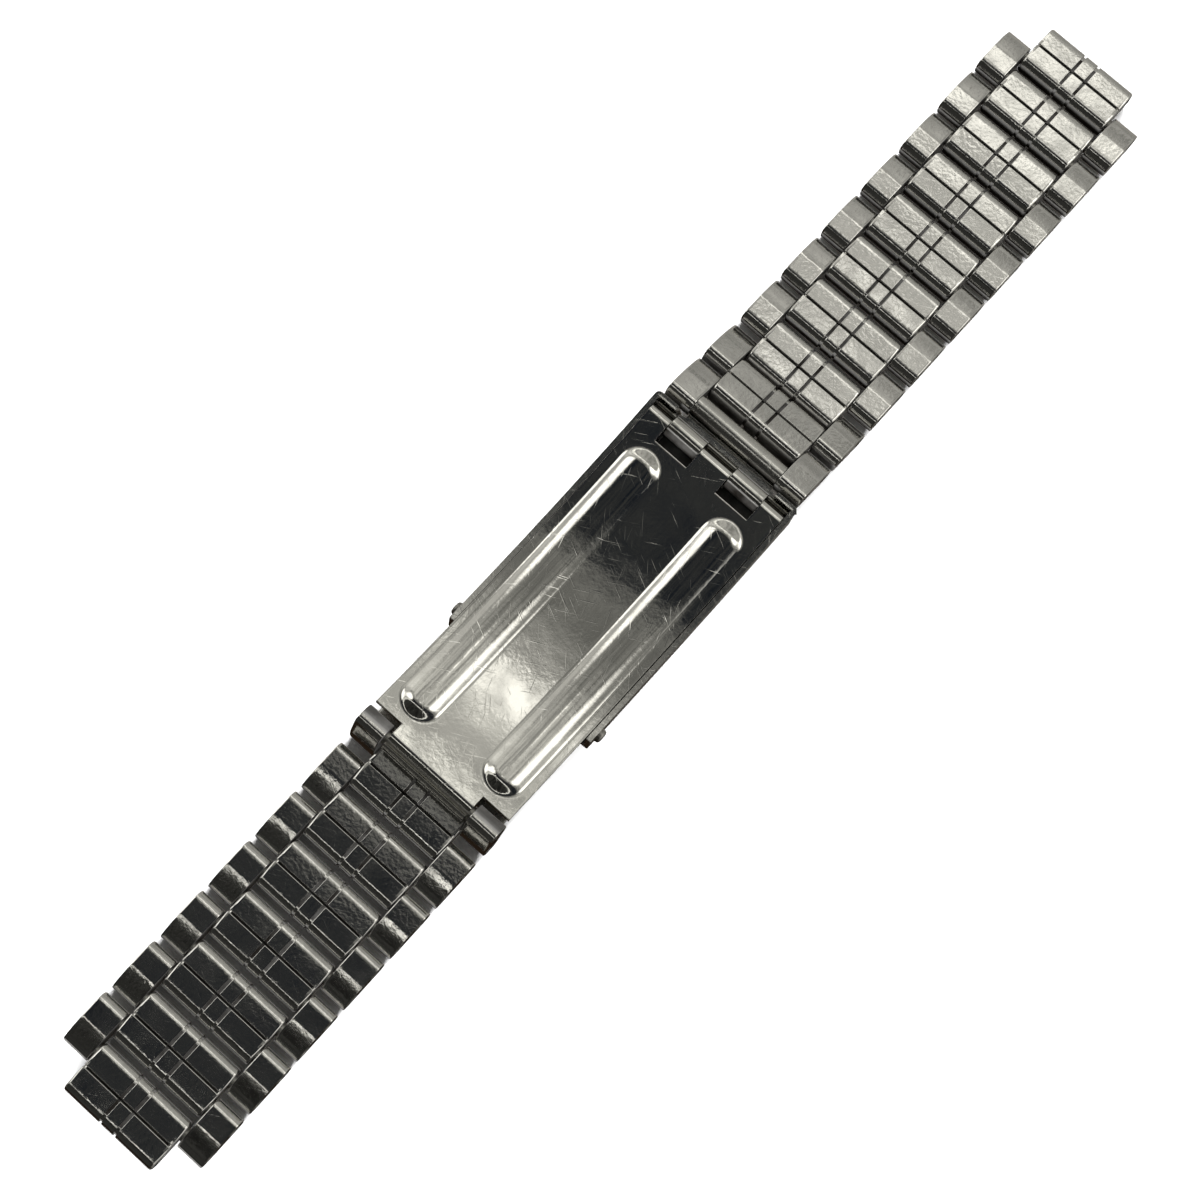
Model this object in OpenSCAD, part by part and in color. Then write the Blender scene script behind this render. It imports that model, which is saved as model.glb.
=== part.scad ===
// A three-link watch bracelet of folded sheet steel with a fold-over clasp.
// It lies wrist side up with the clasp shut, X along the bracelet and Z up.
// The short side leaves the clasp towards -X, the long side towards +X.
// Links are numbered from the clasp outwards.

/* [Bracelet] */
// Width of the bracelet at its free ends, between the lugs of the watch
end_w = 18; // [17.4:0.1:20]
// Width of the bracelet beside the clasp
clasp_w = 17.4; // [16.4:0.1:18.4]
// Centre links on the short side of the clasp
short_links = 7; // [3:1:8]
// Centre links on the long side of the clasp
long_links = 9; // [4:1:10]

/* [Links] */
// Distance between the two pins of a link
pin_gap = 3.25; // [3.1:0.05:3.8]
// Thickness of every link
link_t = 2.6; // [2.5:0.05:2.9]
// Width of a centre link
centre_w = 11.3; // [10:0.1:12]
// Gap between a centre link and the outer links beside it
side_gap = 0.25; // [0.15:0.05:0.4]
// Width of the narrow middle band of a centre link
band_w = 1.5; // [1:0.1:2.5]
// Width of each of the two grooves beside the middle band
groove_w = 0.33; // [0.2:0.01:0.5]
// Depth of the grooves
groove_d = 0.2; // [0.1:0.01:0.22]
// Width of the seam where the folded sheet of a centre link meets itself
seam_w = 0.2; // [0.1:0.02:0.3]
// Thickness of the web between a pin's bore and the hollow inside a link
web_t = 0.22; // [0.15:0.01:0.3]
// Thickness of the sheet over and under the hollow inside a link, at a groove
sheet_t = 0.4; // [0.3:0.05:0.6]

/* [Pins] */
// Diameter of a link pin, which is also that of the watch's spring bars
pin_d = 1.5; // [1.3:0.05:1.6]
// Radial play of a pin in a link that turns on it
play = 0.05; // [0.03:0.01:0.08]
// Radial gap round a pin in a piece that holds it fast
hold_gap = 0.01; // [0.005:0.005:0.02]
// How far a link pin's end lies inside the outer link's side
pin_inset = 0.1; // [0.05:0.05:0.3]

/* [Clasp] */
// Radius that the shut clasp is curved to, at the underside of its cover
clasp_r = 110; // [90:5:200]
// Height of the inner blade's upper face over the cover's underside
stack_h = 3.7; // [3.7:0.05:4]
// Distance along the curve from the clasp's lowest point to its short-side pin
short_reach = 20.5; // [19:0.5:22]
// Distance along the curve from the clasp's lowest point to the blades' hinge
hinge_reach = 23.3; // [22:0.1:26]
// Distance along the curve from the blades' hinge to the long side's first pin
roll_reach = 3.4; // [3.4:0.05:4]
// Distance along the curve from the clasp's lowest point to the cover's hinge
cover_hinge_back = 5.6; // [4:0.1:8]
// Tilt of the first outer link on the long side
lead_tilt = 16.5; // [10:0.5:20]

/* [Inner blade] */
// Thickness of the inner blade's sheet
blade_t = 0.55; // [0.45:0.05:0.6]
// Width of the tongue that curls round the short side's first pin
tab_w = 10.6; // [9:0.1:11.2]
// Outer radius of that curl
tab_r = 1.2; // [1.15:0.05:1.3]
// Clearance of the tongue's two corner notches round the first outer links
notch_gap = 0.45; // [0.3:0.05:0.8]
// Width of each pressed rib at the blade's face
rib_w = 4.4; // [3.6:0.1:4.6]
// Height of a rib over the blade's face
rib_h = 0.7; // [0.5:0.05:0.9]
// Distance of each rib's middle from the blade's middle line
rib_y = 5.45; // [5:0.05:5.8]
// Distance from the short side's pin to the start of the ribs
rib_start = 3; // [2.5:0.1:5]
// Distance from the end of the ribs to the blades' hinge
rib_end = 3.7; // [3.4:0.1:5]

/* [Blade hinge] */
// Outer radius of the knuckles of the blades' hinge
knuckle_r = 1.25; // [1.15:0.05:1.3]
// Diameter of the pin of the blades' hinge
blade_pin_d = 1.2; // [0.8:0.1:1.3]
// Width of the inner blade's middle finger
finger_w = 3.8; // [3:0.1:4.5]
// Width of each slot between the inner blade's fingers
slot_w = 4.25; // [3.6:0.05:4.4]
// Depth of the slots, from the hinge's pin
slot_d = 2.4; // [2.1:0.1:3]
// Side clearance of the middle blade's knuckles in the slots
knuckle_gap = 0.1; // [0.05:0.01:0.2]
// How far the outer knuckles stop short of the blade's sides
knuckle_inset = 0.05; // [0.03:0.01:0.2]

/* [Middle blade] */
// Thickness of the middle blade's sheet
middle_t = 0.5; // [0.4:0.05:0.6]
// Outer radius of the curl round the cover's hinge pin
cover_eye_r = 0.9; // [0.85:0.05:1]
// Diameter of the cover's hinge pin
cover_pin_d = 1; // [0.8:0.05:1]

/* [Cover] */
// Thickness of the cover's floor
floor_t = 0.6; // [0.5:0.05:0.7]
// Thickness of the cover's side walls
wall_t = 0.5; // [0.4:0.05:0.6]
// Gap between the inner blade's edges and the cover's side walls
wall_gap = 0.12; // [0.08:0.01:0.2]
// How far the side walls stay below the inner blade's upper face
wall_drop = 0.3; // [0.1:0.05:0.5]
// Width of the cover's lip on the short side, beyond its side walls
lip_w = 16.6; // [14:0.1:17]
// Gap between the lip and the steep first outer links of the short side
lip_gap = 0.35; // [0.3:0.05:0.8]
// Length of the side walls beyond the cover's hinge, towards the lip
ear_back = 1.5; // [1.2:0.1:2.5]
// Thickness of the two corner tabs that close the cover's end
corner_t = 0.45; // [0.3:0.05:0.5]
// Gap between the corner tabs and the knuckles of the blades' hinge
corner_gap = 0.2; // [0.15:0.05:0.25]
// Width of each corner tab
corner_w = 2.7; // [2:0.1:3]
// Diameter of the heads of the cover's hinge pin
head_d = 1.5; // [1.3:0.1:1.8]
// Height of those heads outside the side walls
head_h = 0.55; // [0.4:0.05:0.8]

/* [Hidden] */
$fn = 48;
eps = 0.01;
cut = 1;
// Sides of a full turn of the clasp's curve
arc_sides = 360;
// How far a curled sheet stops short of the top of its curl
lap = 0.25;
STEEL = "#8f8e8a";
DARK_STEEL = "#6f6f6d";
BRIGHT_STEEL = "#b5b3ac";
PIN_STEEL = "#5c5c5c";

link_r = link_t / 2;
half = pin_gap / 2;
pitch = 2 * pin_gap;
pin_r = pin_d / 2;
bore_r = pin_r + play;
neck_r = link_r - groove_d;
hollow_w = pin_gap - 2 * (bore_r + web_t);
hollow_h = 2 * (neck_r - sheet_t);

// Heights over the cover's underside, and places along the curve
blade_z = stack_h - blade_t;
tab_z = stack_h - tab_r;
knuckle_z = stack_h - knuckle_r;
middle_z = knuckle_z - knuckle_r;
cover_eye_z = middle_z + cover_eye_r;
short_s = -short_reach;
cover_hinge_s = -cover_hinge_back;
roll_s = hinge_reach + roll_reach;
blade_start = short_s + link_r + notch_gap;
slot_start = hinge_reach - slot_d;
knuckle_w = slot_w - 2 * knuckle_gap;
knuckle_out = clasp_w / 2 - knuckle_inset;
middle_w = finger_w + 2 * slot_w - 2 * knuckle_gap;
cover_w = clasp_w + 2 * (wall_gap + wall_t);
wall_z = stack_h - wall_drop;
corner_s = hinge_reach + knuckle_r + corner_gap;
cover_end = corner_s + corner_t;
wall_start = cover_hinge_s - ear_back;

// A rib's section is an arc of this radius, with its centre at this height
rib_r = ((rib_w / 2) ^ 2 + rib_h ^ 2) / (2 * rib_h);
rib_z = stack_h + rib_h - rib_r;
rib_s0 = short_s + rib_start;
rib_s1 = hinge_reach - rib_end;

// The clasp's curve: the turn, x and height of a place s along it and z over it
function turn(s) = s / clasp_r * 180 / PI;
function arc_x(s, z) = (clasp_r - z) * sin(turn(s));
function arc_z(s, z) = clasp_r - (clasp_r - z) * cos(turn(s));

// The short side: its first outer link hangs steeply from the clasp to the flat links
short_pin = [arc_x(short_s, tab_z), arc_z(short_s, tab_z)];
short_tilt = asin(min(1, (short_pin[1] - link_r) / pin_gap));
short_foot = short_pin[0] - pin_gap * cos(short_tilt);
lip_x = short_foot + link_r / sin(short_tilt) + lip_gap
    + (arc_z(short_s, floor_t) - link_r) / tan(short_tilt);
lip_s = clasp_r * asin(lip_x / clasp_r) * PI / 180;

// The long side: its first three links slope down from the clasp to the flat links
long_pin = [arc_x(roll_s, link_r), arc_z(roll_s, link_r)];
rest_drop = long_pin[1] - link_r - pin_gap * sin(lead_tilt);
long_tilt = asin(rest_drop / (2 * pin_gap));
lead_x = long_pin[0] + pin_gap * cos(lead_tilt);
lead_z = long_pin[1] - pin_gap * sin(lead_tilt);
long_foot = lead_x + 2 * pin_gap * cos(long_tilt);

// Places of the links, as x, z and tilt of the middle of outer and centre link i
function short_outer_at(i) =
    i == 1
        ? [(short_pin[0] + short_foot) / 2, (short_pin[1] + link_r) / 2, -short_tilt]
        : [short_foot - (i - 1) * pitch + half, link_r, 0];
function short_centre_at(i) = [short_foot - half - (i - 1) * pitch, link_r, 0];
function long_outer_at(i) =
    i == 1 ? [(long_pin[0] + lead_x) / 2, (long_pin[1] + lead_z) / 2, lead_tilt]
    : i == 2
        ? [long_foot - half * cos(long_tilt), link_r + half * sin(long_tilt), long_tilt]
        : [long_foot + (i - 2) * pitch - half, link_r, 0];
function long_centre_at(i) =
    i == 1
        ? [lead_x + half * cos(long_tilt), lead_z - half * sin(long_tilt), long_tilt]
        : [long_foot + half + (i - 2) * pitch, link_r, 0];

// Width of the bracelet at outer link i of n
function row_w(i, n) = clasp_w + (end_w - clasp_w) * (i - 1) / (n - 1);

// The origin is under the middle of the bracelet's length
short_end = short_centre_at(short_links)[0] - half - link_r;
long_end = long_centre_at(long_links)[0] + half + link_r;
shift_x = -(short_end + long_end) / 2;

// Stands its children at a link's place [x, z, tilt]
module at(place) {
    translate([shift_x + place[0], 0, place[1]]) rotate([0, place[2], 0]) children();
}

// Stands its children on the clasp's curve
module on_arc(s, z) {
    translate([shift_x + arc_x(s, z), 0, arc_z(s, z)]) rotate([0, -turn(s), 0]) children();
}

// Sweeps a section along the clasp's curve; its x is the distance from the curve's centre
module along_arc(s0, s1) {
    translate([shift_x, 0, clasp_r]) rotate([90, 0, 0]) rotate([0, 0, turn(s0) - 90])
        rotate_extrude(angle = turn(s1 - s0), $fn = arc_sides) children();
}

// Curved sheet from s0 to s1 and from height z0 to z1, between y0 and y1
module sheet(s0, s1, z0, z1, y0, y1) {
    along_arc(s0, s1) translate([clasp_r - z1, -y1]) square([z1 - z0, y1 - y0]);
}

// Round bar across the bracelet on the clasp's curve, between y0 and y1
module bar(s, z, r, y0, y1) {
    on_arc(s, z) translate([0, y0, 0]) rotate([-90, 0, 0]) cylinder(r = r, h = y1 - y0);
}

// Outline of a link seen from the side, with round ends about its pins
module link_outline(r) {
    for (x = [-half, half]) translate([x, 0]) circle(r);
    translate([-half, -r]) square([2 * half, 2 * r]);
}

// Length of a link's outline, across the bracelet from y0 to y1
module link_block(r, y0, y1) {
    translate([0, y1, 0]) rotate([90, 0, 0]) linear_extrude(y1 - y0) link_outline(r);
}

// Bores for a link's two pins and the hollow between them
module link_inside(r, w) {
    for (x = [-half, half])
        translate([x, w / 2 + eps, 0]) rotate([90, 0, 0]) cylinder(r = r, h = w + 2 * eps);
    cube([hollow_w, w + 2 * eps, hollow_h], center = true);
}

// Centre link: a folded sheet with a seam on the wrist side and two grooves
module centre_link() {
    color(STEEL) difference() {
        union() {
            link_block(neck_r, -centre_w / 2, centre_w / 2);
            link_block(link_r, -band_w / 2, band_w / 2);
            for (side = [0, 1]) mirror([0, side, 0])
                link_block(link_r, band_w / 2 + groove_w, centre_w / 2);
        }
        link_inside(bore_r, centre_w);
        translate([-seam_w / 2, -centre_w / 2 - eps, 0])
            cube([seam_w, centre_w + 2 * eps, link_r + eps]);
    }
}

// The two outer links of a row that is w wide, one on each side
module outer_links(w) {
    link_w = (w - centre_w) / 2 - side_gap;
    color(DARK_STEEL)
        for (side = [-1, 1]) translate([0, side * (w - link_w) / 2, 0]) difference() {
            link_block(link_r, -link_w / 2, link_w / 2);
            link_inside(pin_r + hold_gap, link_w);
        }
}

// The two pins that a pair of outer links holds
module link_pins(w) {
    length = w - 2 * pin_inset;
    color(PIN_STEEL)
        for (x = [-half, half])
            translate([x, length / 2, 0]) rotate([90, 0, 0]) cylinder(r = pin_r, h = length);
}

// Both ribs, as the part of an arc of radius r that lies over the height z0
module ribs(r, z0, inset) {
    for (side = [-1, 1]) translate([0, side * rib_y, 0])
        along_arc(rib_s0 + inset, rib_s1 - inset) intersection() {
            translate([clasp_r - rib_z, 0]) circle(r);
            translate([clasp_r - stack_h - rib_w, -rib_w]) square([stack_h + rib_w - z0, 2 * rib_w]);
        }
}

// Inner blade: the long plate on the wrist side, with its ribs, tongue and fingers
module inner_blade() {
    finger_in = finger_w / 2 + slot_w;
    color(BRIGHT_STEEL) difference() {
        union() {
            difference() {
                sheet(short_s + lap, hinge_reach - lap, blade_z, stack_h,
                      -clasp_w / 2, clasp_w / 2);
                for (side = [0, 1]) mirror([0, side, 0]) {
                    sheet(short_s - cut, blade_start, blade_z - cut, stack_h + cut,
                          tab_w / 2, clasp_w);
                    sheet(slot_start, hinge_reach + cut, blade_z - cut, stack_h + cut,
                          finger_w / 2, finger_in);
                }
            }
            bar(short_s, tab_z, tab_r, -tab_w / 2, tab_w / 2);
            for (y = [[-knuckle_out, -finger_in], [-finger_w / 2, finger_w / 2],
                      [finger_in, knuckle_out]])
                bar(hinge_reach, knuckle_z, knuckle_r, y[0], y[1]);
            ribs(rib_r, stack_h - blade_t / 2, 0);
        }
        bar(short_s, tab_z, bore_r, -clasp_w, clasp_w);
        bar(hinge_reach, knuckle_z, blade_pin_d / 2 + hold_gap, -clasp_w, clasp_w);
        ribs(rib_r - blade_t, blade_z - blade_t, blade_t);
    }
}

// Middle blade: folded under the inner blade, between its hinge and the cover's
module middle_blade() {
    color(STEEL) difference() {
        union() {
            difference() {
                sheet(cover_hinge_s + lap, hinge_reach - lap, middle_z, middle_z + middle_t,
                      -middle_w / 2, middle_w / 2);
                sheet(hinge_reach - knuckle_r - corner_gap, hinge_reach + cut,
                      middle_z - cut, middle_z + middle_t + cut,
                      -finger_w / 2 - knuckle_gap, finger_w / 2 + knuckle_gap);
            }
            bar(cover_hinge_s, cover_eye_z, cover_eye_r, -middle_w / 2, middle_w / 2);
            for (side = [0, 1]) mirror([0, side, 0])
                bar(hinge_reach, knuckle_z, knuckle_r, middle_w / 2 - knuckle_w, middle_w / 2);
        }
        bar(hinge_reach, knuckle_z, blade_pin_d / 2 + play, -middle_w, middle_w);
        bar(cover_hinge_s, cover_eye_z, cover_pin_d / 2 + play, -middle_w, middle_w);
    }
}

// Cover: the dial-side shell of the clasp, rolled round the long side's first pin
module cover() {
    inner_y = cover_w / 2 - wall_t;
    color(BRIGHT_STEEL) difference() {
        union() {
            difference() {
                sheet(lip_s, roll_s - lap, 0, floor_t, -cover_w / 2, cover_w / 2);
                for (side = [0, 1]) mirror([0, side, 0]) {
                    sheet(lip_s - cut, wall_start, -cut, floor_t + cut, lip_w / 2, cover_w);
                    sheet(cover_end, roll_s + cut, -cut, floor_t + cut, centre_w / 2, cover_w);
                }
            }
            bar(roll_s, link_r, link_r, -centre_w / 2, centre_w / 2);
            for (side = [0, 1]) mirror([0, side, 0]) {
                difference() {
                    sheet(wall_start, cover_end, floor_t, wall_z,
                          cover_w / 2 - corner_w, cover_w / 2);
                    sheet(wall_start - cut, corner_s, 0, wall_z + cut, 0, inner_y);
                }
            }
        }
        bar(roll_s, link_r, bore_r, -centre_w, centre_w);
        bar(cover_hinge_s, cover_eye_z, cover_pin_d / 2 + hold_gap, -cover_w, cover_w);
    }
}

// Pin of the hinge between the two blades
module blade_pin() {
    color(PIN_STEEL)
        bar(hinge_reach, knuckle_z, blade_pin_d / 2,
            -clasp_w / 2 + pin_inset, clasp_w / 2 - pin_inset);
}

// Pin of the cover's hinge, with a head outside each side wall
module cover_pin() {
    color(PIN_STEEL) union() {
        bar(cover_hinge_s, cover_eye_z, cover_pin_d / 2, -cover_w / 2, cover_w / 2);
        for (side = [0, 1]) mirror([0, side, 0])
            bar(cover_hinge_s, cover_eye_z, head_d / 2, cover_w / 2, cover_w / 2 + head_h);
    }
}

inner_blade();
middle_blade();
cover();
blade_pin();
cover_pin();
for (i = [1:short_links]) {
    w = row_w(i, short_links);
    at(short_outer_at(i)) outer_links(w);
    at(short_outer_at(i)) link_pins(w);
    at(short_centre_at(i)) centre_link();
}
for (i = [1:long_links]) {
    w = row_w(i, long_links);
    at(long_outer_at(i)) outer_links(w);
    at(long_outer_at(i)) link_pins(w);
    at(long_centre_at(i)) centre_link();
}
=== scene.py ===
# %% [markdown]
# # A three-link watch bracelet, wrist side up
#
# The object is a steel watch bracelet, made of folded sheet links, with a shut
# fold-over clasp in the middle. This lesson dresses its CAD frame in Blender: it
# models every link, pin and clasp plate again with its folds, creases and grooves,
# gives them worn polished steel, and stands them in a small light studio.
# The frame is loaded first, because every piece takes its place from it.

# %% Load the frame
import math
import random

import bmesh
import bpy
from mathutils import Matrix, Vector


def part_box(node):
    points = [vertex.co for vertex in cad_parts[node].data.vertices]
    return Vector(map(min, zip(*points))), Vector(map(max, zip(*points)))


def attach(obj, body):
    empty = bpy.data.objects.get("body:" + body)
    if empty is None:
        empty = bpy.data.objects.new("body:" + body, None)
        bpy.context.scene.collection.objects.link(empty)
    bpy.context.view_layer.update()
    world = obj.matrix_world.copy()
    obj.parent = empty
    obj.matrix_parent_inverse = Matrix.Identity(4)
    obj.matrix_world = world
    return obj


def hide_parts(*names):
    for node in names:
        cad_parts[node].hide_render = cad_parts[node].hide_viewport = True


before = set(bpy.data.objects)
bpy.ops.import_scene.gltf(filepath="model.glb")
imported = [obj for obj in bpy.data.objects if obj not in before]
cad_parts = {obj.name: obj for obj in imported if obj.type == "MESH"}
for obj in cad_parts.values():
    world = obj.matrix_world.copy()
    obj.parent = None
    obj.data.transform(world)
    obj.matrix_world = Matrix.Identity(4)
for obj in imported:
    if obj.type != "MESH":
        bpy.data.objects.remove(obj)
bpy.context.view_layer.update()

# %% [markdown]
# ## Sizes
#
# The CAD source works in millimetres and Blender in metres. The bracelet's own sizes
# are repeated here by their names, and one factor turns them into metres.

# %% Sizes of the bracelet, in metres
MM = 0.001
SHORT_LINKS, LONG_LINKS = 7, 9
PIN_GAP, LINK_T, CENTRE_W = 3.25 * MM, 2.6 * MM, 11.3 * MM
BAND_W, GROOVE_W, GROOVE_D, SEAM_W = 1.5 * MM, 0.33 * MM, 0.2 * MM, 0.2 * MM
SIDE_GAP, PIN_D, PIN_INSET = 0.25 * MM, 1.5 * MM, 0.1 * MM
BORE_R = PIN_D / 2 + 0.05 * MM
END_W, CLASP_W = 18 * MM, 17.4 * MM
CLASP_R, STACK_H = 110 * MM, 3.7 * MM
SHORT_REACH, HINGE_REACH, ROLL_REACH = 20.5 * MM, 23.3 * MM, 3.4 * MM
COVER_HINGE = 5.6 * MM
BLADE_T, TAB_W, TAB_R = 0.55 * MM, 10.6 * MM, 1.2 * MM
NOTCH_S = -SHORT_REACH + LINK_T / 2 + 0.45 * MM
RIB_W, RIB_H, RIB_Y = 4.4 * MM, 0.7 * MM, 5.45 * MM
RIB_START, RIB_END = -SHORT_REACH + 3 * MM, HINGE_REACH - 3.7 * MM
KNUCKLE_R, BLADE_PIN_D = 1.25 * MM, 1.2 * MM
FINGER_W, SLOT_W, SLOT_D, KNUCKLE_GAP = 3.8 * MM, 4.25 * MM, 2.4 * MM, 0.1 * MM
MIDDLE_T, EYE_R, COVER_PIN_D = 0.5 * MM, 0.9 * MM, 1 * MM
FLOOR_T, WALL_T, WALL_TOP = 0.6 * MM, 0.5 * MM, 3.4 * MM
COVER_W = CLASP_W + 1.24 * MM
LIP_START, LIP_W, WALL_START = -18.85 * MM, 16.6 * MM, -7.1 * MM
TAB_S, CORNER_W, CORNER_T = HINGE_REACH + 1.45 * MM, 2.7 * MM, 0.45 * MM
HEAD_D, HEAD_H = 1.5 * MM, 0.55 * MM
MIDDLE_Z = STACK_H - 2 * KNUCKLE_R
print("width at the lugs and at the clasp:", END_W, CLASP_W)

# %% [markdown]
# ## Working by hand, in code
#
# The same few moves come back for every piece: select one object alone, enter edit
# mode, pick the faces or edges that lie at some place, and run an operator on them.
# They get short names here, so that each piece below reads like the steps at a bench.


# %% Bench moves
def alone(obj):
    """Only obj is selected and active, in object mode."""
    if bpy.context.mode != "OBJECT":
        bpy.ops.object.mode_set(mode="OBJECT")
    bpy.ops.object.select_all(action="DESELECT")
    obj.select_set(True)
    bpy.context.view_layer.objects.active = obj
    return obj


def named(name):
    """Names the primitive just added and puts its place and turn into its mesh."""
    obj = bpy.context.object
    obj.name = obj.data.name = name
    alone(obj)
    bpy.ops.object.transform_apply(location=True, rotation=True, scale=True)
    return obj


def edit(obj, kind="VERT"):
    """Opens obj in edit mode, to pick vertices, edges or faces."""
    alone(obj)
    bpy.ops.object.mode_set(mode="EDIT")
    bpy.ops.mesh.select_mode(type=kind)


def done(obj):
    """Back to object mode."""
    bpy.ops.object.mode_set(mode="OBJECT")
    return obj


def middle(part):
    """Middle of a vertex, edge or face."""
    if isinstance(part, bmesh.types.BMVert):
        return part.co
    return sum((v.co for v in part.verts), Vector()) / len(part.verts)


def pick(obj, kind, test):
    """In edit mode, selects the parts of one kind whose middle passes the test."""
    mesh = bmesh.from_edit_mesh(obj.data)
    mesh.normal_update()
    for v in mesh.verts:
        v.select = False
    for e in mesh.edges:
        e.select = False
    for f in mesh.faces:
        f.select = False
    for part in getattr(mesh, kind):
        if test(middle(part), part):
            part.select_set(True)
    if kind != "verts":
        mesh.select_flush(False)
    bmesh.update_edit_mesh(obj.data)


def cut_across(obj, axis, place, drop=None):
    """Cuts the mesh on a plane across an axis; drop="above" or "below" removes a side."""
    normal, point = Vector(), Vector()
    normal["xyz".index(axis)] = 1
    point["xyz".index(axis)] = place
    edit(obj)
    bpy.ops.mesh.select_all(action="SELECT")
    bpy.ops.mesh.bisect(
        plane_co=point, plane_no=normal, threshold=0.0005 * MM,
        clear_outer=drop == "above", clear_inner=drop == "below",
    )
    done(obj)


def outward(obj):
    """Turns all faces outwards."""
    edit(obj)
    bpy.ops.mesh.select_all(action="SELECT")
    bpy.ops.mesh.remove_doubles(threshold=0.002 * MM)
    bpy.ops.mesh.normals_make_consistent(inside=False)
    return done(obj)


def finish_mesh(obj, *modifiers, sharp):
    """Adds modifiers, applies them, and shades smooth but for edges over sharp degrees."""
    alone(obj)
    for kind, values in modifiers:
        modifier = obj.modifiers.new(kind.title(), kind)
        for key, value in values.items():
            setattr(modifier, key, value)
        bpy.ops.object.modifier_apply(modifier=modifier.name)
    bpy.ops.object.shade_smooth_by_angle(angle=math.radians(sharp))
    weighted = obj.modifiers.new("Weighted", "WEIGHTED_NORMAL")
    weighted.keep_sharp = True
    bpy.ops.object.modifier_apply(modifier=weighted.name)
    return obj


# %% [markdown]
# ## Steel
#
# Polished stainless steel has almost no colour of its own: it shows the room. What
# makes it look worn is fine. Hair scratches from cuffs catch the light, a slow wave
# from pressing and polishing bends every reflection, and seams and gaps are darkened
# by grime and by painted shade. Scratches and waves are bump here, the painted shade
# and grime is an attribute that each piece carries, and all patterns follow Object
# coordinates so they stay on the metal.


# %% Steel material
# How fine each pattern is: about as many features to a metre.
WAVES, SMUDGES, SPOTS, HAIRS = 190, 420, 2400, 6500
HAIR_TURNS = (0.5, -0.9, 1.9, 2.7)
HAIR_STRETCH = (1, 30, 30)
# Near-black colour for the painted shade and grime in seams, gaps and hollows.
SHADE_AND_DIRT_COLOUR = (0.006, 0.005, 0.004, 1)


def noise(tree, place, scale, detail, stretch=(1, 1, 1), turn=0):
    """Noise on the piece's own coordinates, stretched and turned about Z."""
    mapping = tree.nodes.new("ShaderNodeMapping")
    mapping.vector_type = "TEXTURE"
    mapping.inputs["Scale"].default_value = stretch
    mapping.inputs["Rotation"].default_value = (0, 0, turn)
    tree.links.new(place, mapping.inputs["Vector"])
    texture = tree.nodes.new("ShaderNodeTexNoise")
    texture.inputs["Scale"].default_value = scale
    texture.inputs["Detail"].default_value = detail
    tree.links.new(mapping.outputs["Vector"], texture.inputs["Vector"])
    return texture.outputs["Fac"]


def ranged(tree, value, low, high, to_low, to_high):
    """Maps the span low to high onto another, and holds the ends."""
    node = tree.nodes.new("ShaderNodeMapRange")
    node.inputs["From Min"].default_value = low
    node.inputs["From Max"].default_value = high
    node.inputs["To Min"].default_value = to_low
    node.inputs["To Max"].default_value = to_high
    tree.links.new(value, node.inputs["Value"])
    return node.outputs["Result"]


def math_node(tree, operation, a, b):
    """A math node on two sockets or numbers."""
    node = tree.nodes.new("ShaderNodeMath")
    node.operation = operation
    for socket, value in zip(node.inputs, (a, b)):
        if isinstance(value, (int, float)):
            socket.default_value = value
        else:
            tree.links.new(value, socket)
    return node.outputs["Value"]


def mix_colour(tree, factor, a, b):
    """From colour a to colour b as the factor goes from 0 to 1."""
    node = tree.nodes.new("ShaderNodeMix")
    node.data_type = "RGBA"
    sockets = (node.inputs["Factor"], node.inputs[6], node.inputs[7])
    for socket, value in zip(sockets, (factor, a, b)):
        if isinstance(value, tuple):
            socket.default_value = value
        else:
            tree.links.new(value, socket)
    return node.outputs[2]


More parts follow.
